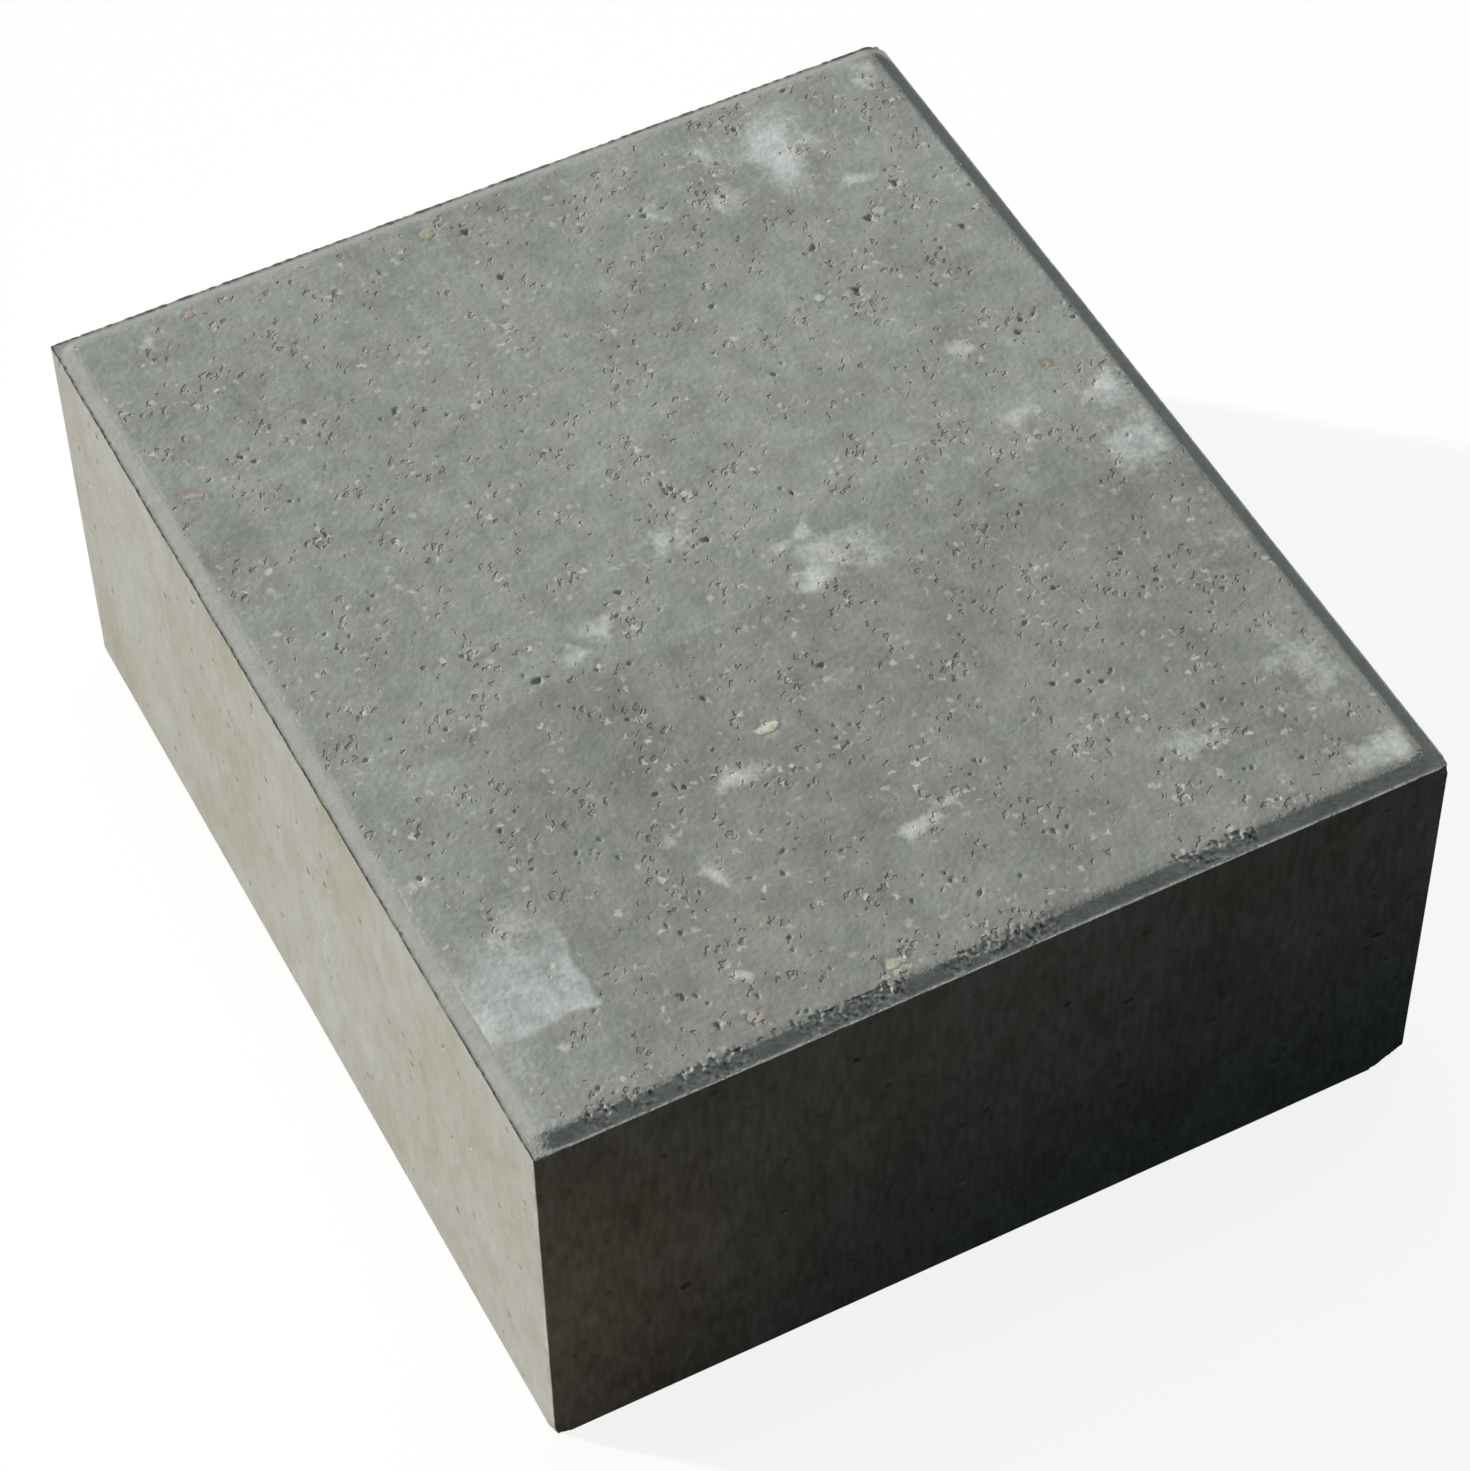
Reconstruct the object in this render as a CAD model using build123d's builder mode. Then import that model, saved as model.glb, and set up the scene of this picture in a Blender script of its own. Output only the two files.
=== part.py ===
from build123d import *
import math
import os

# Block step for a garden stair: one solid piece of vibration-pressed concrete.
# The mould box forms the four upright faces, the board under it the flat underside, and the press head
# the tread with the chamfer round it. The origin is the centre of the underside, with +X along the riser,
# +Y from the riser to the back and +Z up. All sizes are in millimetres.

# Mould box
length = 400.0  # along the riser
depth = 340.0  # from the riser to the back
height = 170.0  # rise, from the underside to the tread
mould_corner_radius = 1.0  # upright edges, where the mould's plates meet

# Press head
lip_width = 1.5  # level lip left between the head and the mould's walls
chamfer_run = 4.8  # width in plan of the chamfer round the tread
chamfer_drop = 3.0  # fall of the chamfer from the tread to the lip
tread_corner_radius = 2.5  # corners of the tread in plan, inside the chamfer

# Corner knocked off the underside, at the right-hand end of the back
chip_along_length = 8.0
chip_along_depth = 11.5
chip_up = 7.0

lip_height = height - chamfer_drop
chamfer_lean = math.degrees(math.atan2(chamfer_run, chamfer_drop))  # from upright
chip_corner = Vector(length / 2, depth / 2, 0)
chip_outward = Vector(1 / chip_along_length, 1 / chip_along_depth, -1 / chip_up)
chip_face = Plane(origin=chip_corner - Vector(chip_along_length, 0, 0), z_dir=chip_outward)

with BuildPart() as step_block:
    # Body, as high as the lip
    with BuildSketch():
        RectangleRounded(length, depth, mould_corner_radius)
    extrude(amount=lip_height)

    # Tread, standing on the body within the lip, with its sides leaning in as the chamfer
    with BuildSketch(Plane.XY.offset(lip_height)):
        RectangleRounded(length - 2 * lip_width, depth - 2 * lip_width, tread_corner_radius + chamfer_run)
    extrude(amount=chamfer_drop, taper=chamfer_lean)

    # Broken corner, as one plane across the three edges that met there
    split(bisect_by=chip_face, keep=Keep.BOTTOM)

step_block.part.label = "step_block"

os.makedirs("parts", exist_ok=True)
export_step(step_block.part, "parts/step_block.step")
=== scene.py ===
import math
import random
from collections import namedtuple

import bmesh
import bpy
from mathutils import Matrix, Quaternion, Vector, kdtree, noise


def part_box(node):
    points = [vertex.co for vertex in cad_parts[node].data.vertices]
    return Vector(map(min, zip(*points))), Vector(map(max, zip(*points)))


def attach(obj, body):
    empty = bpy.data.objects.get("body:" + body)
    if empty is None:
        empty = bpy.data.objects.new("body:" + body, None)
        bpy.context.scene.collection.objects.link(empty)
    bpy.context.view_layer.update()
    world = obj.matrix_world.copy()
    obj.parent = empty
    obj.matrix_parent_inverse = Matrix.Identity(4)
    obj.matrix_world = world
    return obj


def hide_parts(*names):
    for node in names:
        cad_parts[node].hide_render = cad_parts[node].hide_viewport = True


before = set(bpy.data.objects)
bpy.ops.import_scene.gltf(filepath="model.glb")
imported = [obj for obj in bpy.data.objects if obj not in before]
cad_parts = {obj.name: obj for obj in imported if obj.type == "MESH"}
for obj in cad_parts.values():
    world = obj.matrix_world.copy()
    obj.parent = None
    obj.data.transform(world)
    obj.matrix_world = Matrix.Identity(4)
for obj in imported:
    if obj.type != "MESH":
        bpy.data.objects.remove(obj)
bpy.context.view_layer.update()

# The block: shape
# One solid piece of earth-moist concrete, shaken and pressed in a steel mould box on a board and pushed out
# while still green. The mould drags its four upright faces, and the press head strikes the tread and the
# chamfer round it, with a level lip outside the chamfer where the head runs clear of the mould's walls.
MM = 0.001
UP = Vector((0, 0, 1))
block_low, block_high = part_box("step_block")
half_length, half_depth, tread_z = block_high
lip_width = 1.5 * MM
chamfer_run = 4.8 * MM
chamfer_drop = 3.0 * MM
lip_z = tread_z - chamfer_drop
rim_width = lip_width + chamfer_run
chance = random.Random(17)
noise.seed_set(17)

# A point this near to a level counts as lying on it
level_margin = 0.1 * MM

# Thin skin of paste where a plate of the press head stuck: its right and back edges, and its length
skin_right_edge = 157 * MM
skin_back_edge = -125 * MM
skin_length = 44 * MM

# Open pores: small hollows where the stiff mix did not close up
Pore = namedtuple("Pore", "centre outward along across depth long_radius")
pores = []


def open_pore(centre, outward, long_radius, flatness, depth, along=None):
    """Note a pore on the surface: an oval, turned by chance where its long way is not given."""
    along = along or Quaternion(outward, chance.uniform(0, math.pi)) @ outward.orthogonal().normalized()
    across = outward.cross(along)
    along_share = along / long_radius
    across_share = across / (long_radius * flatness)
    pores.append(Pore(centre, outward, along_share, across_share, depth, long_radius))


# Tread: loose clusters, thicker towards the right-hand end and the back, with radii in mm
tread_clusters = 185
cluster_spread = 3.4 * MM
least_tread_pore = 0.65
most_tread_pore = 1.8
while tread_clusters:
    x = chance.uniform(-1, 1) * (half_length - rim_width)
    y = chance.uniform(-1, 1) * (half_depth - rim_width)
    if chance.random() > 0.55 + 0.3 * x / half_length + 0.15 * y / half_depth:
        continue
    tread_clusters -= 1
    for _ in range(1 + int(chance.expovariate(0.9))):
        centre = Vector((x + chance.gauss(0, cluster_spread), y + chance.gauss(0, cluster_spread), tread_z))
        on_skin = skin_right_edge - skin_length < centre.x < skin_right_edge and centre.y < skin_back_edge
        if on_skin or abs(centre.x) > half_length - rim_width or abs(centre.y) > half_depth - rim_width:
            continue
        long_radius = min(most_tread_pore, least_tread_pore + chance.expovariate(2.8)) * MM
        flatness = chance.uniform(0.45, 0.9)
        open_pore(centre, UP, long_radius, flatness, long_radius * flatness * chance.uniform(0.7, 1.2))

# Right-hand chamfer: stretches along Y that tore as the head lifted, from and to in mm, and two deep holes.
# Grooves lie about torn_spacing mm apart.
torn_stretches = [(-150, -138), (-134, -124), (-117, -91), (-74, -34), (-20, 22), (68, 98)]
torn_spacing = 1.6
deep_tears = [-41, 91]
chamfer_outward = Vector((chamfer_drop, 0, chamfer_run)).normalized()
chamfer_fall = Vector((chamfer_run, 0, -chamfer_drop)).normalized()


def tear_chamfer(y_mm, share, long_radius, flatness, depth):
    """Open a short groove down the right-hand chamfer, a share of the way up from the lip."""
    x = half_length - lip_width - chamfer_run * share
    centre = Vector((x, y_mm * MM, lip_z + chamfer_drop * min(share, 1)))
    along = Quaternion(chamfer_outward, chance.gauss(0, 0.35)) @ chamfer_fall
    open_pore(centre, chamfer_outward, long_radius, flatness, depth, along)


for start, end in torn_stretches:
    y_mm = start
    while y_mm < end:
        long_radius = chance.uniform(0.9, 2.2) * MM
        flatness = chance.uniform(0.3, 0.55)
        depth = long_radius * chance.uniform(0.25, 0.6)
        tear_chamfer(y_mm, chance.uniform(0.1, 1.1), long_radius, flatness, depth)
        y_mm += torn_spacing * chance.uniform(0.6, 1.6)
for y_mm in deep_tears:
    tear_chamfer(y_mm, share=0.9, long_radius=2.2 * MM, flatness=0.6, depth=1.6 * MM)
    tear_chamfer(y_mm + 4, share=0.4, long_radius=1.8 * MM, flatness=0.7, depth=1.4 * MM)

# Upright faces: a few pores each, opened by the drag of the mould, with radii in mm
side_pores = 36
least_side_pore = 0.7
most_side_pore = 2.0
for outward in (Vector((1, 0, 0)), Vector((-1, 0, 0)), Vector((0, 1, 0)), Vector((0, -1, 0))):
    distance, reach = (half_length, half_depth) if outward.x else (half_depth, half_length)
    for _ in range(side_pores):
        along_face = outward.cross(UP) * chance.uniform(-0.97, 0.97) * reach
        centre = outward * distance + along_face + UP * chance.uniform(0.03, 0.95) * lip_z
        long_radius = min(most_side_pore, least_side_pore + chance.expovariate(2.6)) * MM
        depth = long_radius * chance.uniform(0.4, 0.7)
        open_pore(centre, outward, long_radius, chance.uniform(0.5, 0.9), depth)

widest_pore = max(pore.long_radius for pore in pores)
pore_tree = kdtree.KDTree(len(pores))
for index, pore in enumerate(pores):
    pore_tree.insert(pore.centre, index)
pore_tree.balance()

# Stones of the mix that show in the tread: x, y, half length, half width in mm, turn in degrees, colour
stones = [
    (81, -24.5, 4.2, 2.1, 95, "#dcd6c6"),
    (-25.5, -0.5, 2.2, 1.9, 20, "#c8c2ae"),
    (187, -34.5, 3.0, 1.7, 100, "#c6c0ac"),
    (185, -83.5, 2.5, 2.2, 40, "#b8af9b"),
    (-185, -26.5, 2.6, 2.1, 60, "#b4aa94"),
    (-188.5, -120, 1.6, 1.5, 0, "#c5a294"),
    (-106, -153.5, 3.4, 1.3, 70, "#c0aba0"),
    (-117.5, 126, 2.3, 2.2, 30, "#bcc0b9"),
    (-88, 85.5, 1.9, 1.8, 10, "#c2c5be"),
    (-128.5, -20.5, 1.8, 1.7, 15, "#bec2bb"),
    (-20.5, 141.5, 1.3, 1.1, 0, "#bba78a"),
    (30.5, -62.5, 1.3, 1.1, 0, "#d0c9b5"),
]

# Lime bloom: pale patches on the tread, x, y, half length, half width in mm, turn in degrees, strength
bloom_patches = [
    (-166, 107.5, 22, 13, 0, 0.85), (-172, 105, 12, 8, 0, 0.9), (-164, 80, 28, 9, 0, 0.42),
    (-150, 75.5, 7, 4, 0, 0.6), (-185.5, 156, 8, 5, -20, 0.8), (-133.5, 126, 3, 8, 0, 0.75),
    (-152, 54.5, 8, 3, 10, 0.45), (-1, 155, 8, 9, 0, 0.85), (26.5, 150.5, 15, 14, 0, 0.62),
    (31, 158.5, 6, 5, 0, 0.8), (-42.5, 116.5, 8, 4, 10, 0.8), (-3.5, 120.5, 4.5, 9, 0, 0.6),
    (7, 116, 7, 3, 0, 0.6), (22, 35, 13, 18, 0, 0.6), (8, 26.5, 4, 4.5, 0, 1.0),
    (11.5, 18.5, 4.5, 4.5, 0, 0.9), (29, 21.5, 4.5, 10, 0, 0.85), (-9, -20, 5.5, 4.5, -20, 1.0),
    (-9, -14, 8, 10, 0, 0.5), (13.5, -55, 5.5, 7, 0, 0.85), (20.5, -68.5, 3.5, 6, 25, 0.75),
    (97, -43.5, 4.5, 8.5, 0, 0.9), (134.5, 14, 3, 8, 0, 0.8), (140.5, -0.5, 3.5, 8, 15, 0.9),
    (127, -71, 7, 3.5, 25, 0.85), (110.5, -76.5, 3.5, 3.5, 0, 0.55), (169.5, -79.5, 4, 4.5, 0, 1.0),
    (149.5, -160, 6, 4, 0, 0.75), (118, -139, 10, 9, 0, 0.45),
    (167.5, -144, 3, 3, 0, 0.75), (167.5, -163, 6, 5, 0, 0.7), (185.5, 150.5, 9, 14, 0, 0.75),
    (142, 150.5, 17, 13, 0, 0.5), (88, 146, 13, 11, 0, 0.38), (154, 98, 9, 10, 0, 0.6),
    (-181.5, -140.5, 5, 2, 0, 0.8), (-177.5, -43, 3.5, 2.5, 0, 0.7), (7, -95.5, 6, 3.5, 0, 0.6),
    (-36.5, -97, 3, 2.5, 0, 0.6), (-54, -147.5, 3, 2.5, 0, 0.65), (88, -155.5, 3, 4.5, 0, 0.6),
    (41.5, -139, 4, 2.5, 0, 0.55), (175, -21, 5, 2.5, 0, 0.6),
]


def oval_share(point, x, y, half_long, half_wide, turn):
    """0 at the centre of an oval on the tread, 1 at its outline and more outside it."""
    dx = point.x / MM - x
    dy = point.y / MM - y
    if max(abs(dx), abs(dy)) > 2 * max(half_long, half_wide):
        return 9
    cosine = math.cos(math.radians(turn))
    sine = math.sin(math.radians(turn))
    return math.hypot((dx * cosine + dy * sine) / half_long, (dy * cosine - dx * sine) / half_wide)


# Corners that are rubbed off, each with how far the wear reaches and how deep it goes, and the broken one
worn_corners = [
    (Vector((half_length, -half_depth, 0)), 6 * MM, 1.5 * MM),
    (Vector((-half_length, half_depth, lip_z)), 6 * MM, 1.5 * MM),
    (Vector((half_length, half_depth, lip_z)), 5 * MM, 1.0 * MM),
]
broken_corner = Vector((half_length, half_depth, 0))
broken_reach = 14 * MM
broken_outward = Vector((0.6, 0.42, -0.68)).normalized()

# Mesh: the solid's own faces, merged, cut into a coarse net and made finer towards the rim and the pores
mesh = bpy.data.meshes.new("pressed_step_block")
bm = bmesh.new()
bm.from_mesh(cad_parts["step_block"].data)
bmesh.ops.remove_doubles(bm, verts=bm.verts, dist=0.01 * MM)
bmesh.ops.dissolve_limit(bm, angle_limit=math.radians(1), verts=bm.verts, edges=bm.edges)
for edge in bm.edges:
    edge.smooth = edge.calc_face_angle(0) < math.radians(45)

net = 14.4 * MM
for axis, low, high in zip(Matrix.Identity(3), block_low, block_high):
    cuts = round((high - low) / net)
    for cut in range(1, cuts):
        place = axis * (low + (high - low) * cut / cuts)
        everything = bm.verts[:] + bm.edges[:] + bm.faces[:]
        bmesh.ops.bisect_plane(bm, geom=everything, plane_co=place, plane_no=axis)

# How far apart points lie on each stretch of the surface
tread_net = 3.6 * MM
bloom_net = 1.8 * MM
rim_net = 0.9 * MM
side_net = 7.2 * MM
pore_net = 0.45 * MM


def wanted_net(point):
    """How far apart the mesh's points are wanted at a place on the surface."""
    if point.z > tread_z - level_margin:
        inside = min(half_length - rim_width - abs(point.x), half_depth - rim_width - abs(point.y))
        wanted = min(tread_net, rim_net + 0.5 * max(inside, 0))
        if any(oval_share(point, *patch[:5]) < 1.5 for patch in bloom_patches):
            wanted = min(wanted, bloom_net)
        if any(oval_share(point, *stone[:5]) < 1.6 for stone in stones):
            wanted = pore_net
    elif point.z > lip_z - level_margin:
        wanted = rim_net
    elif point.z > level_margin:
        wanted = min(side_net, rim_net + 0.5 * (lip_z - point.z))
    else:
        wanted = net
    for corner, reach, _ in worn_corners:
        wanted = min(wanted, rim_net + 0.6 * max((point - corner).length - reach, 0))
    wanted = min(wanted, rim_net + 0.6 * max((point - broken_corner).length - broken_reach, 0))
    _, index, distance = pore_tree.find(point)
    return min(wanted, pore_net + 0.6 * max(distance - pores[index].long_radius, 0))


most_halvings = 6
for _ in range(most_halvings):
    long_edges = [
        edge for edge in bm.edges
        if edge.calc_length() > 1.45 * wanted_net((edge.verts[0].co + edge.verts[1].co) / 2)
    ]
    if not long_edges:
        break
    bmesh.ops.subdivide_edges(bm, edges=long_edges, cuts=1, use_grid_fill=True)
    bmesh.ops.triangulate(bm, faces=[face for face in bm.faces if len(face.verts) > 4])
bmesh.ops.triangulate(bm, faces=bm.faces[:], quad_method="BEAUTY", ngon_method="BEAUTY")

# Finish of each face: tread, rim, upright sides, underside
TREAD, RIM, SIDE, UNDERSIDE = range(4)
bm.normal_update()
for face in bm.faces:
    centre = face.calc_center_median()
    face.smooth = True
    if centre.z > tread_z - level_margin:
        face.material_index = TREAD
    elif centre.z > lip_z - level_margin:
        face.material_index = RIM
    elif face.normal.z < -0.9:
        face.material_index = UNDERSIDE
    else:
        face.material_index = SIDE

# Relief: every point sinks a little, by the waves of the pressed faces, the pores and the worn edges.
# A wave is how long one swell is; the heights and depths are the most that it moves a point.
slow_wave = 45 * MM
slow_height = 0.1 * MM
quick_wave = 10 * MM
quick_height = 0.03 * MM
edge_slow_wave = 9 * MM
edge_quick_wave = 2.5 * MM
edge_margin = 0.3 * MM
lip_margin = 0.05 * MM
arris_waver = 0.6 * MM
arris_sink = 0.2 * MM
lip_waver = 0.35 * MM
lip_nibble = 0.2 * MM
torn_roughness = 0.7 * MM
broken_roughness = 0.7 * MM
stone_rise = 0.05 * MM
stone_ring = 0.3 * MM
crumb_wave = 1.5 * MM
fine_crumb_wave = 0.8 * MM
bloom_slow_wave = 11 * MM
bloom_slow_stray = 4 * MM
bloom_quick_wave = 4 * MM
bloom_quick_stray = 2 * MM
fin_height = {"riser": 0.3 * MM, "left": 0.36 * MM, "back": 0.15 * MM, "right": -0.12 * MM}

# Painted shade darkens a pore from this depth on, and is full this much deeper
pore_shade_from = 0.25 * MM
pore_shade_span = 0.7 * MM

# The pore attribute holds how far down in a pore a point lies, for the painted shade inside it
pore_shade_layer = bm.verts.layers.float.new("pore")
bloom_layer = bm.verts.layers.float.new("bloom")
stone_layer = bm.verts.layers.float_color.new("stone")


def linear(colour):
    """An sRGB hex colour as linear red, green, blue and an alpha of 1."""
    parts = [int(colour[start:start + 2], 16) / 255 for start in (1, 3, 5)]
    return [part / 12.92 if part < 0.04045 else ((part + 0.055) / 1.055) ** 2.4 for part in parts] + [1.0]


def nearest_side(point):
    """The upright face nearest to a point: its name, the way it faces and how far off it is."""
    sides = [
        ("riser", Vector((0, -1, 0)), half_depth + point.y),
        ("back", Vector((0, 1, 0)), half_depth - point.y),
        ("left", Vector((-1, 0, 0)), half_length + point.x),
        ("right", Vector((1, 0, 0)), half_length - point.x),
    ]
    return min(sides, key=lambda side: side[2])


torn_grain = linear("#c2c3bb")
moves = []
for vert in bm.verts:
    place = vert.co.copy()
    outward = vert.normal.copy()
    if outward.dot(broken_outward) > 0.8 and (place - broken_corner).length < broken_reach:
        move = -broken_outward * broken_roughness * (0.6 + noise.noise(place / (3 * MM)))
        moves.append((vert, move))
        vert[stone_layer] = (0, 0, 0, 0)
        continue
    if place.z < level_margin:
        outward.z = 0
    waves = slow_height * noise.noise(place / slow_wave) + quick_height * noise.noise(place / quick_wave)
    move = outward * (waves - slow_height - quick_height)
    side, side_outward, side_distance = nearest_side(place)
    slow_waver = noise.noise(place / edge_slow_wave)
    quick_waver = noise.noise(place / edge_quick_wave)
    if place.z > tread_z - level_margin and side_distance < rim_width + edge_margin:
        move -= side_outward * arris_waver * max(0, 0.3 + slow_waver + 0.6 * quick_waver)
        move -= UP * arris_sink
    at_lip = abs(place.z - lip_z) < lip_margin
    if at_lip and abs(side_distance - lip_width) < edge_margin:
        move -= side_outward * lip_waver * (slow_waver + quick_waver)
    if at_lip and side_distance < edge_margin:
        move -= side_outward * lip_nibble * max(0, slow_waver + quick_waver)
        move += UP * fin_height[side] * max(0, 0.7 + 0.7 * slow_waver + 1.6 * quick_waver)
    deepest = 0
    for _, index, _ in pore_tree.find_range(place, widest_pore * 1.3):
        pore = pores[index]
        offset = place - pore.centre
        ragged = 1 + 0.7 * noise.noise(place / (1.7 * MM))
        share = math.hypot(offset.dot(pore.along), offset.dot(pore.across)) * ragged
        sunk = pore.depth * max(0, min(1, (1.1 - share) / 0.8))
        if sunk > deepest:
            deepest = sunk
            pore_move = -pore.outward * sunk
    if deepest:
        move += pore_move
        vert[pore_shade_layer] = max(0, min(1, (deepest - pore_shade_from) / pore_shade_span))
    vert[stone_layer] = (0, 0, 0, 0)
    on_rim = 0.8 * MM < side_distance < rim_width + 0.8 * MM and place.z > lip_z - level_margin
    if side == "right" and on_rim:
        y_mm = place.y / MM
        torn = max(min(1, (y_mm - start) / 2, (end - y_mm) / 2) for start, end in torn_stretches)
        crumb = noise.noise(place / crumb_wave) + 0.5 * noise.noise(place / fine_crumb_wave)
        if torn > 0:
            highest = 0.25 if place.z < tread_z - level_margin else 0
            move += chamfer_outward * torn_roughness * torn * min(crumb, highest)
            vert[stone_layer] = torn_grain[:3] + [torn * max(0, min(1, (crumb - 0.15) / 0.25))]
    if place.z > tread_z - level_margin:
        strayed = place + noise.noise_vector(place / bloom_slow_wave) * bloom_slow_stray
        strayed += noise.noise_vector(place / bloom_quick_wave) * bloom_quick_stray
        for x, y, half_long, half_wide, turn, strength in bloom_patches:
            share = oval_share(strayed, x, y, half_long, half_wide, turn)
            if share < 1.5:
                vert[bloom_layer] = max(vert[bloom_layer], strength * min(1, (1.5 - share) / 1.1))
        vert[bloom_layer] *= min(1, 0.5 + (side_distance - rim_width) / (10 * MM))
        for x, y, half_long, half_wide, turn, colour in stones:
            uneven = 1 + 0.3 * noise.noise(place / (2 * MM))
            share = oval_share(place, x, y, half_long, half_wide, turn) * uneven
            if share < 1.1:
                vert[stone_layer] = linear(colour)[:3] + [min(1, (1.1 - share) / 0.2)]
                move += outward * stone_rise * max(0, 1 - share * share)
            move -= outward * stone_ring * max(0, 1 - abs(share - 1.2) / 0.25)
    for corner, reach, depth in worn_corners:
        near = 1 - (place - corner).length / reach
        if near > 0:
            centre_way = (Vector((0, 0, tread_z / 2)) - corner).normalized()
            move += centre_way * depth * near * (1 + 0.7 * noise.noise(place / (2 * MM)))
    moves.append((vert, move))
for vert, move in moves:
    vert.co += move

bm.to_mesh(mesh)
bm.free()
block = bpy.data.objects.new("pressed_step_block", mesh)
bpy.context.scene.collection.objects.link(block)
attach(block, "root")
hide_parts("step_block")


# The block: finish
# Grey concrete in four finishes: struck by the press head on the tread, smooth on the rim, dragged by the
# mould on the upright faces, and printed by the board on the underside. All are matt and dry.
def add_node(tree, kind, inputs=None, **settings):
    """Add a node; each input is another node's output socket to link, or a value to set."""
    node = tree.nodes.new(kind)
    for name, value in settings.items():
        setattr(node, name, value)
    for name, value in (inputs or {}).items():
        if isinstance(value, bpy.types.NodeSocket):
            tree.links.new(value, node.inputs[name])
        else:
            node.inputs[name].default_value = value
    return node


def per_metre(size_mm):
    """Texture scale at which a pattern's cells are this many millimetres across."""
    return 1000 / size_mm


MIX_FACTOR, MIX_A, MIX_B, MIX_RESULT = 0, 6, 7, 2


def new_material(name):
    """A material with its node tree, its shader and the object's own coordinates."""
    material = bpy.data.materials.new(name)
    material.use_nodes = True
    tree = material.node_tree
    place = add_node(tree, "ShaderNodeTexCoord").outputs["Object"]
    return material, tree, tree.nodes["Principled BSDF"], place


# Press-struck tread: cement paste mottled by its sand, with pale grit, small pits, lime bloom and stones.
# The pores and the pits are painted darker inside, as painted shade in their hollows.
# It is darker and warmer right of the joint in the head's plate. The sand is drawn coarse, so that it shows.
tread_material, tree, shader, place = new_material("press_struck_concrete_tread")
axes = add_node(tree, "ShaderNodeSeparateXYZ", {"Vector": place})
joint_x = 31 * MM
right_plate = add_node(tree, "ShaderNodeMapRange", {
    "Value": axes.outputs["X"], "From Min": joint_x - 5 * MM, "From Max": joint_x + 5 * MM,
}, interpolation_type="SMOOTHSTEP")
behind_front = add_node(tree, "ShaderNodeMapRange", {
    "Value": axes.outputs["Y"], "From Min": -half_depth + 18 * MM, "From Max": -half_depth + 75 * MM,
}, interpolation_type="SMOOTHSTEP")
darker_plate = add_node(tree, "ShaderNodeMath", {
    0: right_plate.outputs["Result"], 1: behind_front.outputs["Result"],
}, operation="MULTIPLY")
tint = add_node(tree, "ShaderNodeTexNoise", {
    "Vector": place, "Scale": per_metre(18), "Detail": 1.0,
}, noise_dimensions="2D")
tint_mask = add_node(tree, "ShaderNodeMapRange", {
    "Value": tint.outputs["Fac"], "From Min": 0.3, "From Max": 0.7,
})
colour = add_node(tree, "ShaderNodeMix", {
    MIX_FACTOR: tint_mask.outputs["Result"], MIX_A: linear("#9ca09c"), MIX_B: linear("#9e9f99"),
}, data_type="RGBA")
colour = add_node(tree, "ShaderNodeMix", {
    MIX_FACTOR: darker_plate.outputs[0], MIX_A: colour.outputs[MIX_RESULT], MIX_B: linear("#f0efec"),
}, data_type="RGBA", blend_type="MULTIPLY")
cloud = add_node(tree, "ShaderNodeTexNoise", {
    "Vector": place, "Scale": per_metre(50), "Detail": 1.0,
}, noise_dimensions="2D")
mottle = add_node(tree, "ShaderNodeTexNoise", {
    "Vector": place, "Scale": per_metre(14), "Detail": 3.0, "Roughness": 0.8,
}, noise_dimensions="2D")
cloud_contrast = 0.32
mottle_contrast = 0.75
least_brightness = 0.475
brightness = add_node(tree, "ShaderNodeMath", {
    0: cloud.outputs["Fac"], 1: cloud_contrast, 2: least_brightness,
}, operation="MULTIPLY_ADD")
brightness = add_node(tree, "ShaderNodeMath", {
    0: mottle.outputs["Fac"], 1: mottle_contrast, 2: brightness.outputs[0],
}, operation="MULTIPLY_ADD")
joint_near = add_node(tree, "ShaderNodeMath", {
    0: axes.outputs["X"], 1: joint_x, 2: 0.9 * MM,
}, operation="COMPARE")
joint_share = add_node(tree, "ShaderNodeMapRange", {
    "Value": cloud.outputs["Fac"], "From Min": 0.42, "From Max": 0.6, "To Max": 0.1,
})
brightness = add_node(tree, "ShaderNodeMath", {
    0: joint_near.outputs[0], 1: joint_share.outputs["Result"], 2: brightness.outputs[0],
}, operation="MULTIPLY_ADD")
colour = add_node(tree, "ShaderNodeHueSaturation", {
    "Color": colour.outputs[MIX_RESULT], "Value": brightness.outputs[0],
})
sand = add_node(tree, "ShaderNodeTexNoise", {
    "Vector": place, "Scale": per_metre(2.4), "Detail": 1.0,
}, noise_dimensions="2D")
pushed = add_node(tree, "ShaderNodeVectorMath", {
    0: sand.outputs["Color"], 1: (3.4 * MM, 3.4 * MM, 0), 2: place,
}, operation="MULTIPLY_ADD")
grit = add_node(tree, "ShaderNodeTexVoronoi", {
    "Vector": pushed.outputs[0], "Scale": per_metre(4.6),
}, voronoi_dimensions="2D")
grit_pick = add_node(tree, "ShaderNodeSeparateColor", {"Color": grit.outputs["Color"]})
grit_size = add_node(tree, "ShaderNodeMapRange", {
    "Value": grit_pick.outputs["Green"], "To Min": 0.1, "To Max": 0.34,
})
grit_share = add_node(tree, "ShaderNodeMath", {
    0: grit_size.outputs["Result"], 1: grit.outputs["Distance"],
}, operation="SUBTRACT")
grit_near = add_node(tree, "ShaderNodeMapRange", {
    "Value": grit_share.outputs[0], "From Min": -0.04, "From Max": 0.18,
}, interpolation_type="SMOOTHSTEP")
grit_crowd = add_node(tree, "ShaderNodeMath", {
    0: grit_pick.outputs["Red"], 1: tint.outputs["Fac"],
}, operation="ADD")
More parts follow.
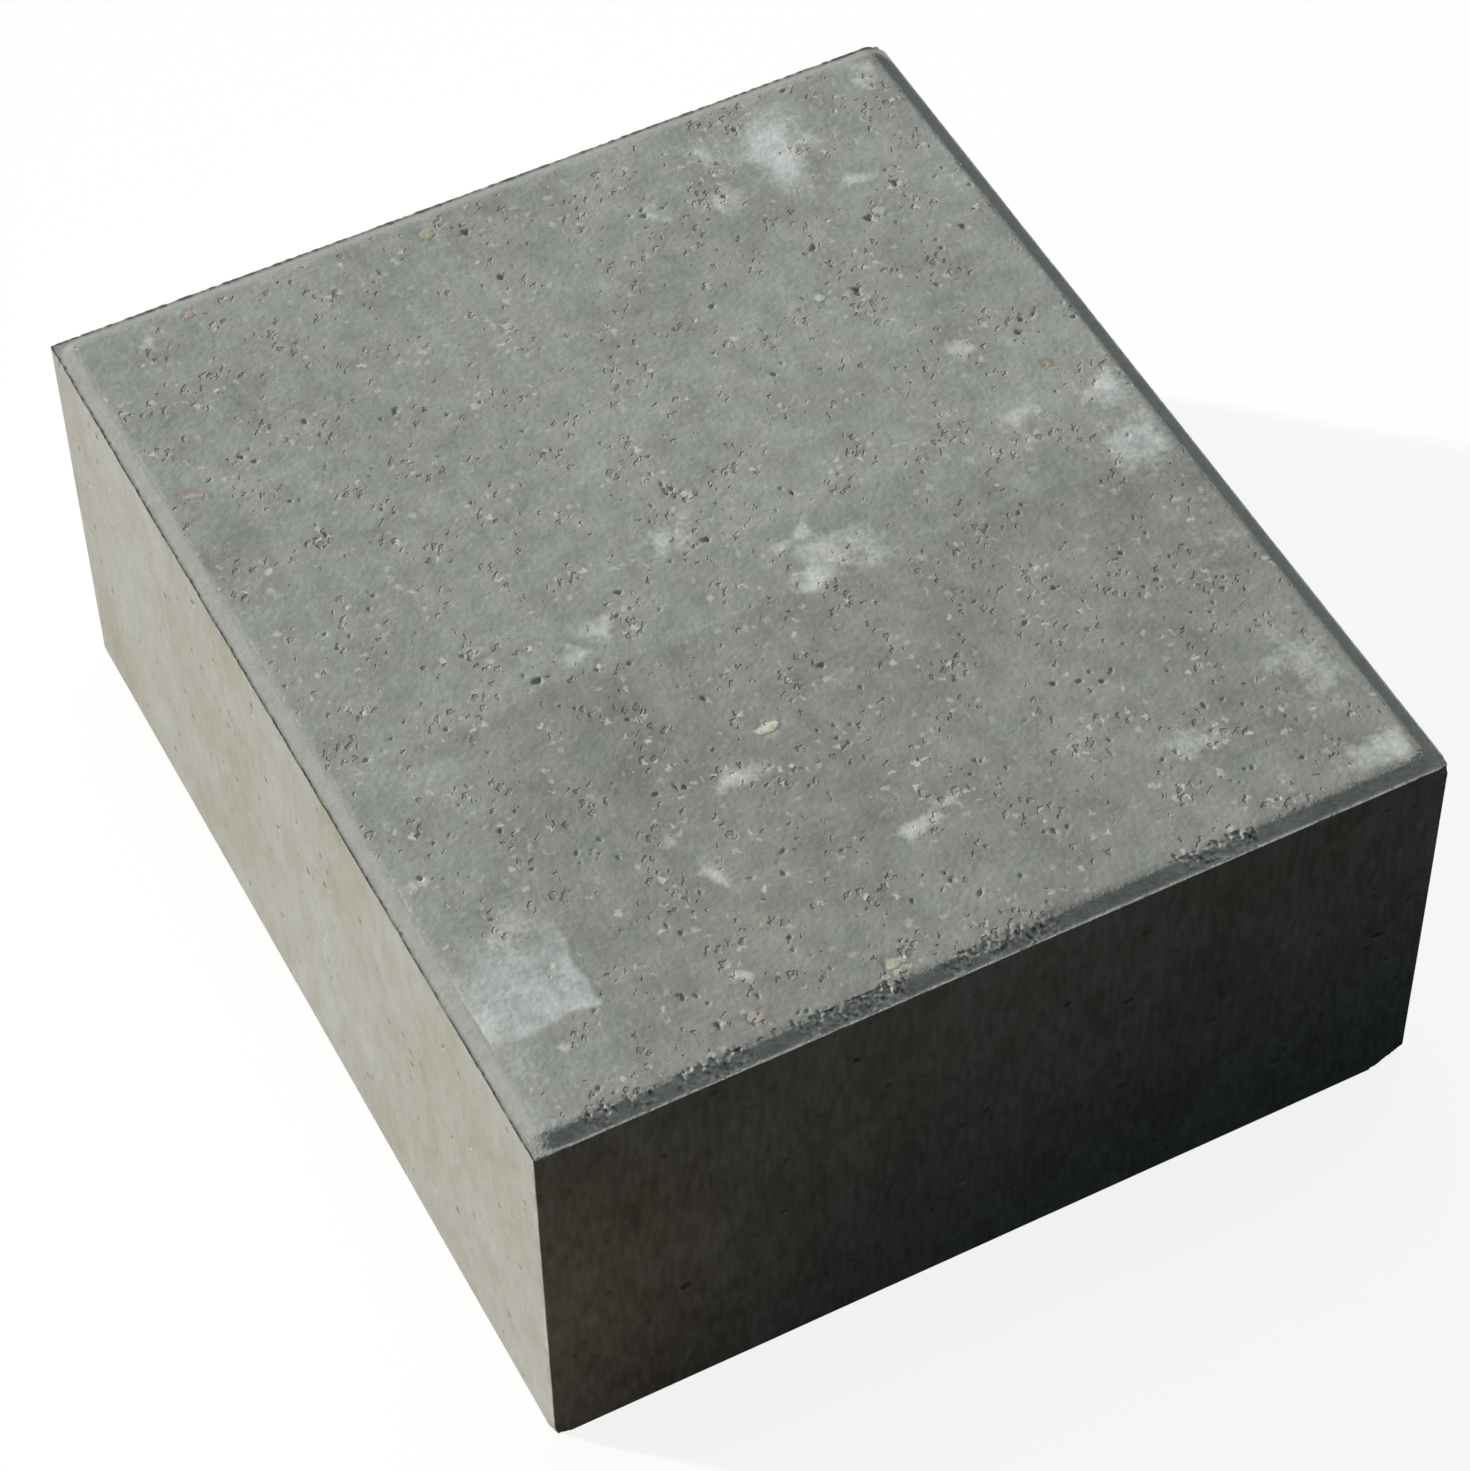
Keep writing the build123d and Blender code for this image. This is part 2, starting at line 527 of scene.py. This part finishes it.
grit_strength = add_node(tree, "ShaderNodeMapRange", {
    "Value": grit_crowd.outputs[0], "From Min": 1.1, "From Max": 1.62, "To Max": 0.85,
})
grit_mask = add_node(tree, "ShaderNodeMath", {
    0: grit_near.outputs["Result"], 1: grit_strength.outputs["Result"],
}, operation="MULTIPLY")
colour = add_node(tree, "ShaderNodeMix", {
    MIX_FACTOR: grit_mask.outputs[0], MIX_A: colour.outputs["Color"], MIX_B: linear("#d0d2cd"),
}, data_type="RGBA")
skin_fade = 26 * MM
skin_stray = 6 * MM
stray = add_node(tree, "ShaderNodeVectorMath", {
    0: tint.outputs["Color"], 1: (skin_stray, skin_stray, 0), 2: place,
}, operation="MULTIPLY_ADD")
stray_axes = add_node(tree, "ShaderNodeSeparateXYZ", {"Vector": stray.outputs[0]})
skin_x = skin_right_edge + skin_stray / 2
skin_y = skin_back_edge + skin_stray / 2
skin_right = add_node(tree, "ShaderNodeMapRange", {
    "Value": stray_axes.outputs["X"], "From Min": skin_x + 1 * MM, "From Max": skin_x - 1 * MM,
})
skin_behind = add_node(tree, "ShaderNodeMapRange", {
    "Value": stray_axes.outputs["Y"], "From Min": skin_y + 1 * MM, "From Max": skin_y - 1 * MM,
})
skin_left = add_node(tree, "ShaderNodeMapRange", {
    "Value": stray_axes.outputs["X"],
    "From Min": skin_x - skin_length, "From Max": skin_x - skin_length + skin_fade,
})
skin_mask = add_node(tree, "ShaderNodeMath", {
    0: skin_right.outputs["Result"], 1: skin_behind.outputs["Result"],
}, operation="MULTIPLY")
skin_mask = add_node(tree, "ShaderNodeMath", {
    0: skin_mask.outputs[0], 1: skin_left.outputs["Result"],
}, operation="MULTIPLY")
skin_front = add_node(tree, "ShaderNodeMapRange", {
    "Value": axes.outputs["Y"], "To Min": 0.4,
    "From Min": -half_depth + rim_width, "From Max": -half_depth + 3 * rim_width,
})
skin_mask = add_node(tree, "ShaderNodeMath", {
    0: skin_mask.outputs[0], 1: skin_front.outputs["Result"],
}, operation="MULTIPLY")
skin_mask = add_node(tree, "ShaderNodeMath", {
    0: skin_mask.outputs[0], 1: mottle.outputs["Fac"],
}, operation="MULTIPLY")
colour = add_node(tree, "ShaderNodeMix", {
    MIX_FACTOR: skin_mask.outputs[0], MIX_A: colour.outputs[MIX_RESULT], MIX_B: linear("#dadfde"),
}, data_type="RGBA")
bloom = add_node(tree, "ShaderNodeAttribute", attribute_name="bloom")
bloom_sum = add_node(tree, "ShaderNodeMath", {
    0: mottle.outputs["Fac"], 1: 1.2, 2: bloom.outputs["Fac"],
}, operation="MULTIPLY_ADD")
bloom_mask = add_node(tree, "ShaderNodeMapRange", {
    "Value": bloom_sum.outputs[0], "From Min": 0.86, "From Max": 1.62, "To Max": 0.75,
})
colour = add_node(tree, "ShaderNodeMix", {
    MIX_FACTOR: bloom_mask.outputs["Result"], MIX_A: colour.outputs[MIX_RESULT], MIX_B: linear("#dfe2e0"),
}, data_type="RGBA")
# Painted shade: the deeper a pore, the darker its inside
pore = add_node(tree, "ShaderNodeAttribute", attribute_name="pore")
pore_shade = add_node(tree, "ShaderNodeMath", {0: pore.outputs["Fac"], 1: 0.3}, operation="MULTIPLY")
colour = add_node(tree, "ShaderNodeMix", {
    MIX_FACTOR: pore_shade.outputs[0], MIX_A: colour.outputs[MIX_RESULT], MIX_B: linear("#55534c"),
}, data_type="RGBA")
stone = add_node(tree, "ShaderNodeAttribute", attribute_name="stone")
stone_bare = add_node(tree, "ShaderNodeMath", {
    0: sand.outputs["Fac"], 1: 1.4, 2: 0.1,
}, operation="MULTIPLY_ADD")
stone_mask = add_node(tree, "ShaderNodeMath", {
    0: stone.outputs["Alpha"], 1: stone_bare.outputs[0],
}, operation="MULTIPLY", use_clamp=True)
colour = add_node(tree, "ShaderNodeMix", {
    MIX_FACTOR: stone_mask.outputs[0], MIX_A: colour.outputs[MIX_RESULT], MIX_B: stone.outputs["Color"],
}, data_type="RGBA")
drawn = add_node(tree, "ShaderNodeMapping", {
    "Vector": pushed.outputs[0], "Rotation": (0, 0, math.radians(-41)), "Scale": (1.5, 1, 1),
}, vector_type="TEXTURE")
pit = add_node(tree, "ShaderNodeTexVoronoi", {
    "Vector": drawn.outputs["Vector"], "Scale": per_metre(3.6),
}, voronoi_dimensions="2D")
pit_pick = add_node(tree, "ShaderNodeSeparateColor", {"Color": pit.outputs["Color"]})
pit_crowd = add_node(tree, "ShaderNodeMath", {
    0: tint.outputs["Fac"], 1: 2.2, 2: pit_pick.outputs["Green"],
}, operation="MULTIPLY_ADD")
pit_crowd = add_node(tree, "ShaderNodeMath", {
    0: skin_mask.outputs[0], 1: -2.0, 2: pit_crowd.outputs[0],
}, operation="MULTIPLY_ADD")
pit_size = add_node(tree, "ShaderNodeMapRange", {
    "Value": pit_crowd.outputs[0], "From Min": 1.6, "From Max": 2.3, "To Min": 0.0, "To Max": 0.36,
})
pit_share = add_node(tree, "ShaderNodeMath", {
    0: pit_size.outputs["Result"], 1: pit.outputs["Distance"],
}, operation="SUBTRACT")
# Painted shade: the pits are darkened inside, besides their bump
pit_shade = add_node(tree, "ShaderNodeMapRange", {
    "Value": pit_share.outputs[0], "From Min": 0.1, "From Max": 0.26, "To Max": 0.28,
})
colour = add_node(tree, "ShaderNodeMix", {
    MIX_FACTOR: pit_shade.outputs["Result"], MIX_A: colour.outputs[MIX_RESULT], MIX_B: linear("#55534c"),
}, data_type="RGBA")
tree.links.new(colour.outputs[MIX_RESULT], shader.inputs["Base Color"])
pit_depth = add_node(tree, "ShaderNodeMapRange", {
    "Value": pit_share.outputs[0], "From Min": 0.0, "From Max": 0.18, "To Min": 0.0, "To Max": -0.5,
}, interpolation_type="SMOOTHSTEP")
height = add_node(tree, "ShaderNodeMath", {
    0: sand.outputs["Fac"], 1: 0.2, 2: pit_depth.outputs["Result"],
}, operation="MULTIPLY_ADD")
bump = add_node(tree, "ShaderNodeBump", {"Height": height.outputs[0], "Distance": MM, "Strength": 1.0})
tree.links.new(bump.outputs["Normal"], shader.inputs["Normal"])
shader.inputs["Roughness"].default_value = 0.9
shader.inputs["Specular IOR Level"].default_value = 0.2
mesh.materials.append(tread_material)

# Press-struck rim: fat paste against the head's bevel, more even than the tread, rough where the right-hand
# end tore, with painted shade in its deeper pores and torn grooves, and a dark brown line in the riser's
# lip:
# painted shade of the lip's fin, tinted brown by dirt.
rim_material, tree, shader, place = new_material("press_struck_concrete_rim")
mottle = add_node(tree, "ShaderNodeTexNoise", {
    "Vector": place, "Scale": per_metre(8), "Detail": 3.0, "Roughness": 0.9,
})
axes = add_node(tree, "ShaderNodeSeparateXYZ", {"Vector": place})
rough_end = add_node(tree, "ShaderNodeMapRange", {
    "Value": axes.outputs["X"], "To Min": 0.5, "To Max": 1.0,
    "From Min": half_length - 2 * rim_width, "From Max": half_length - rim_width,
})
off_mean = add_node(tree, "ShaderNodeMath", {0: mottle.outputs["Fac"], 1: 0.5}, operation="SUBTRACT")
off_mean = add_node(tree, "ShaderNodeMath", {
    0: off_mean.outputs[0], 1: rough_end.outputs["Result"],
}, operation="MULTIPLY")
brightness = add_node(tree, "ShaderNodeMath", {
    0: off_mean.outputs[0], 1: 1.2, 2: 1.0,
}, operation="MULTIPLY_ADD")
colour = add_node(tree, "ShaderNodeHueSaturation", {
    "Color": linear("#999b97"), "Value": brightness.outputs[0],
})
# Painted shade: the deeper a pore or torn groove, the darker its inside
pore = add_node(tree, "ShaderNodeAttribute", attribute_name="pore")
pore_shade = add_node(tree, "ShaderNodeMath", {0: pore.outputs["Fac"], 1: 0.4}, operation="MULTIPLY")
colour = add_node(tree, "ShaderNodeMix", {
    MIX_FACTOR: pore_shade.outputs[0], MIX_A: colour.outputs["Color"], MIX_B: linear("#4e4d47"),
}, data_type="RGBA")
# Painted shade of the fin along the riser's lip, in knots, tinted brown by dirt
lip_corner = add_node(tree, "ShaderNodeMapRange", {
    "Value": axes.outputs["Y"], "From Min": -half_depth + 1.1 * MM, "From Max": -half_depth + 0.5 * MM,
})
lip_knots = add_node(tree, "ShaderNodeMapRange", {
    "Value": mottle.outputs["Fac"], "From Min": 0.62, "From Max": 0.38, "To Min": 0.2, "To Max": 0.95,
})
lip_shade_and_dirt = add_node(tree, "ShaderNodeMath", {
    0: lip_corner.outputs["Result"], 1: lip_knots.outputs["Result"],
}, operation="MULTIPLY")
colour = add_node(tree, "ShaderNodeMix", {
    MIX_FACTOR: lip_shade_and_dirt.outputs[0], MIX_A: colour.outputs[MIX_RESULT], MIX_B: linear("#5c5340"),
}, data_type="RGBA")
grain = add_node(tree, "ShaderNodeAttribute", attribute_name="stone")
colour = add_node(tree, "ShaderNodeMix", {
    MIX_FACTOR: grain.outputs["Alpha"], MIX_A: colour.outputs[MIX_RESULT], MIX_B: grain.outputs["Color"],
}, data_type="RGBA")
tree.links.new(colour.outputs[MIX_RESULT], shader.inputs["Base Color"])
relief = add_node(tree, "ShaderNodeTexNoise", {
    "Vector": place, "Scale": per_metre(2.0), "Detail": 2.0, "Roughness": 0.6,
})
bump = add_node(tree, "ShaderNodeBump", {
    "Height": relief.outputs["Fac"], "Distance": 0.6 * MM, "Strength": rough_end.outputs["Result"],
})
tree.links.new(bump.outputs["Normal"], shader.inputs["Normal"])
shader.inputs["Roughness"].default_value = 0.85
shader.inputs["Specular IOR Level"].default_value = 0.2
mesh.materials.append(rim_material)

# Mould-dragged sides: pale laitance in soft stains, with small air holes painted as dark specks of shade.
# The streaks of the mould are faint, but on the shaded right-hand end the streaks and stains are painted
# strong, as painted shading of their relief.
side_material, tree, shader, place = new_material("mould_dragged_concrete_side")
drawn = add_node(tree, "ShaderNodeMapping", {"Vector": place, "Scale": (1, 1, 0.25)})
streak = add_node(tree, "ShaderNodeTexNoise", {
    "Vector": drawn.outputs["Vector"], "Scale": per_metre(2.4), "Detail": 2.0, "Roughness": 0.6,
})
smeared = add_node(tree, "ShaderNodeMapping", {"Vector": place, "Scale": (1, 1, 0.65)})
cloud = add_node(tree, "ShaderNodeTexNoise", {
    "Vector": smeared.outputs["Vector"], "Scale": per_metre(48), "Detail": 4.0, "Roughness": 0.85,
})
axes = add_node(tree, "ShaderNodeSeparateXYZ", {"Vector": place})
# The right-hand end lies in shade: its streaks and stains are painted stronger there, as painted shading of
# their relief
end_from = half_length - 4 * MM
end_to = half_length - 2 * MM
streak_and_end_shading = add_node(tree, "ShaderNodeMapRange", {
    "Value": axes.outputs["X"], "From Min": end_from, "From Max": end_to,
    "To Min": 0.06, "To Max": 1.0,
})
off_mean = add_node(tree, "ShaderNodeMath", {0: streak.outputs["Fac"], 1: 0.5}, operation="SUBTRACT")
brightness = add_node(tree, "ShaderNodeMath", {
    0: off_mean.outputs[0], 1: streak_and_end_shading.outputs["Result"], 2: 1.0,
}, operation="MULTIPLY_ADD")
stain_and_end_shading = add_node(tree, "ShaderNodeMapRange", {
    "Value": axes.outputs["X"], "From Min": end_from, "From Max": end_to,
    "To Min": 0.66, "To Max": 1.25,
})
off_mean = add_node(tree, "ShaderNodeMath", {0: cloud.outputs["Fac"], 1: 0.5}, operation="SUBTRACT")
brightness = add_node(tree, "ShaderNodeMath", {
    0: off_mean.outputs[0], 1: stain_and_end_shading.outputs["Result"], 2: brightness.outputs[0],
}, operation="MULTIPLY_ADD")
patch_mask = add_node(tree, "ShaderNodeMapRange", {
    "Value": cloud.outputs["Fac"], "From Min": 0.35, "From Max": 0.65,
})
colour = add_node(tree, "ShaderNodeMix", {
    MIX_FACTOR: patch_mask.outputs["Result"], MIX_A: linear("#b9b7ab"), MIX_B: linear("#b7b8b4"),
}, data_type="RGBA")
colour = add_node(tree, "ShaderNodeHueSaturation", {
    "Color": colour.outputs[MIX_RESULT], "Value": brightness.outputs[0],
})
# Small air holes, painted as dark specks of shade
speck = add_node(tree, "ShaderNodeTexVoronoi", {"Vector": place, "Scale": per_metre(4)})
# A cell's colour follows from where its point lies, so a second draw picks the specks alike on all sides
speck_draw = add_node(tree, "ShaderNodeTexWhiteNoise", {"Vector": speck.outputs["Color"]})
speck_pick = add_node(tree, "ShaderNodeSeparateColor", {"Color": speck_draw.outputs["Color"]})
speck_size = add_node(tree, "ShaderNodeMapRange", {
    "Value": speck_pick.outputs["Green"], "To Min": 0.0, "To Max": 0.48,
})
speck_share = add_node(tree, "ShaderNodeMath", {
    0: speck_size.outputs["Result"], 1: speck.outputs["Distance"],
}, operation="SUBTRACT")
speck_near = add_node(tree, "ShaderNodeMapRange", {
    "Value": speck_share.outputs[0], "From Min": 0.0, "From Max": 0.26,
})
speck_most = add_node(tree, "ShaderNodeMapRange", {
    "Value": axes.outputs["X"], "From Min": end_from, "From Max": end_to,
    "To Min": 0.78, "To Max": 0.6,
})
speck_strength = add_node(tree, "ShaderNodeMapRange", {
    "Value": speck_pick.outputs["Red"], "From Min": 0.8, "From Max": 1.0,
    "To Max": speck_most.outputs["Result"],
})
speck_mask = add_node(tree, "ShaderNodeMath", {
    0: speck_near.outputs["Result"], 1: speck_strength.outputs["Result"],
}, operation="MULTIPLY")
# Painted shade: the deeper a pore, the darker its inside, added to the specks
pore = add_node(tree, "ShaderNodeAttribute", attribute_name="pore")
hole_shade_mask = add_node(tree, "ShaderNodeMath", {
    0: pore.outputs["Fac"], 1: 0.8, 2: speck_mask.outputs[0],
}, operation="MULTIPLY_ADD")
colour = add_node(tree, "ShaderNodeMix", {
    MIX_FACTOR: hole_shade_mask.outputs[0], MIX_A: colour.outputs["Color"], MIX_B: linear("#605644"),
}, data_type="RGBA")
tree.links.new(colour.outputs[MIX_RESULT], shader.inputs["Base Color"])
bump = add_node(tree, "ShaderNodeBump", {
    "Height": cloud.outputs["Fac"], "Distance": 1.1 * MM, "Strength": 1.0,
})
tree.links.new(bump.outputs["Normal"], shader.inputs["Normal"])
shader.inputs["Roughness"].default_value = 0.9
shader.inputs["Specular IOR Level"].default_value = 0.2
mesh.materials.append(side_material)

# Board-printed underside: rougher and duller, from the board the block cured on
underside_material, tree, shader, place = new_material("board_printed_concrete_underside")
cloud = add_node(tree, "ShaderNodeTexNoise", {"Vector": place, "Scale": per_metre(12), "Detail": 5.0})
brightness = add_node(tree, "ShaderNodeMath", {
    0: cloud.outputs["Fac"], 1: 0.3, 2: 0.85,
}, operation="MULTIPLY_ADD")
colour = add_node(tree, "ShaderNodeHueSaturation", {
    "Color": linear("#9d9b92"), "Value": brightness.outputs[0],
})
tree.links.new(colour.outputs["Color"], shader.inputs["Base Color"])
shader.inputs["Roughness"].default_value = 0.95
mesh.materials.append(underside_material)

# Floor
# A plain studio floor. The camera sees it white, with a pale shadow under the block, and it is a dull dark
# grey for the light that it gives back, so that the shaded end stays dark.
floor_mesh = bpy.data.meshes.new("studio_floor")
bm = bmesh.new()
bmesh.ops.create_grid(bm, x_segments=1, y_segments=1, size=20.0)
bm.to_mesh(floor_mesh)
bm.free()
floor = bpy.data.objects.new("studio_floor", floor_mesh)
bpy.context.scene.collection.objects.link(floor)
floor_material = bpy.data.materials.new("studio_floor_paint")
floor_material.use_nodes = True
tree = floor_material.node_tree
tree.nodes.clear()
seen = add_node(tree, "ShaderNodeLightPath").outputs["Is Camera Ray"]
shadow_share = 0.16
white = add_node(tree, "ShaderNodeEmission", {"Color": (1, 1, 1, 1), "Strength": 1.03})
shaded = add_node(tree, "ShaderNodeBsdfDiffuse", {"Color": (1, 1, 1, 1)})
dull = add_node(tree, "ShaderNodeBsdfDiffuse", {"Color": linear("#2a2b2c")})
pale = add_node(tree, "ShaderNodeMixShader", {0: shadow_share, 1: white.outputs[0], 2: shaded.outputs[0]})
both = add_node(tree, "ShaderNodeMixShader", {0: seen, 1: dull.outputs[0], 2: pale.outputs[0]})
add_node(tree, "ShaderNodeOutputMaterial", {"Surface": both.outputs[0]})
floor_mesh.materials.append(floor_material)


# Light
# A low key light from the left of the riser, a broad soft light from above, two small cards that lift the
# shaded end a little, near its front corner and along its top, and a white surround.
def hang_light(name, toward, energy, spread, colour):
    """Add a parallel light that comes from a direction, as wide as a disc of that many degrees."""
    lamp = bpy.data.lights.new(name, "SUN")
    lamp.energy = energy
    lamp.angle = math.radians(spread)
    lamp.color = linear(colour)[:3]
    holder = bpy.data.objects.new(name, lamp)
    holder.rotation_mode = "QUATERNION"
    holder.rotation_quaternion = Vector(toward).to_track_quat("Z", "Y")
    bpy.context.scene.collection.objects.link(holder)


hang_light("key_light", toward=(-0.616, -0.706, 0.349), energy=4.1, spread=3, colour="#fffcf5")
hang_light("overhead_light", toward=(-0.23, 0.15, 1), energy=1.19, spread=44, colour="#f2f6f8")


def stand_card(name, place, toward, energy, length, width, colour):
    """Add a small glowing card at a place, turned to a point; the camera does not see it."""
    lamp = bpy.data.lights.new(name, "AREA")
    lamp.shape = "RECTANGLE"
    lamp.size = length
    lamp.size_y = width
    lamp.energy = energy
    lamp.color = linear(colour)[:3]
    holder = bpy.data.objects.new(name, lamp)
    holder.location = place
    holder.rotation_mode = "QUATERNION"
    holder.rotation_quaternion = (Vector(place) - Vector(toward)).to_track_quat("Z", "X")
    holder.visible_camera = False
    bpy.context.scene.collection.objects.link(holder)


stand_card(
    "corner_card", place=(0.3, -0.19, 0.07), toward=(0.2, -0.185, 0.075),
    energy=0.0085, length=0.1, width=0.05, colour="#ffdab5",
)
stand_card(
    "end_strip", place=(0.35, 0.03, 0.13), toward=(0.2, 0.03, 0.28),
    energy=0.0138, length=0.04, width=0.5, colour="#ffedcb",
)

world = bpy.data.worlds.new("studio_surround")
world.use_nodes = True
bpy.context.scene.world = world
tree = world.node_tree
tree.nodes.clear()
seen = add_node(tree, "ShaderNodeLightPath").outputs["Is Camera Ray"]
fill = add_node(tree, "ShaderNodeBackground", {"Color": linear("#c2e5ff"), "Strength": 0.037})
white = add_node(tree, "ShaderNodeBackground", {"Color": (1, 1, 1, 1), "Strength": 1.0})
both = add_node(tree, "ShaderNodeMixShader", {0: seen, 1: fill.outputs[0], 2: white.outputs[0]})
add_node(tree, "ShaderNodeOutputWorld", {"Surface": both.outputs[0]})

# Camera
# Placed as for the photograph: above the right-hand end of the riser, with a long lens.
azimuth, elevation, roll = (math.radians(angle) for angle in (63.49, 50.85, -1.16))
back = Vector((
    math.sin(azimuth) * math.cos(elevation),
    -math.cos(azimuth) * math.cos(elevation),
    math.sin(elevation),
))
camera_data = bpy.data.cameras.new("camera")
camera_data.lens = 115.43
camera_data.sensor_width = 36.0
camera = bpy.data.objects.new("camera", camera_data)
camera.location = Vector((971.7, -481.3, 1395.4)) * MM
camera.rotation_mode = "QUATERNION"
camera.rotation_quaternion = (-back).to_track_quat("-Z", "Y") @ Quaternion((0, 0, 1), roll)
bpy.context.scene.collection.objects.link(camera)
bpy.context.scene.camera = camera
bpy.context.scene.view_settings.view_transform = "Standard"
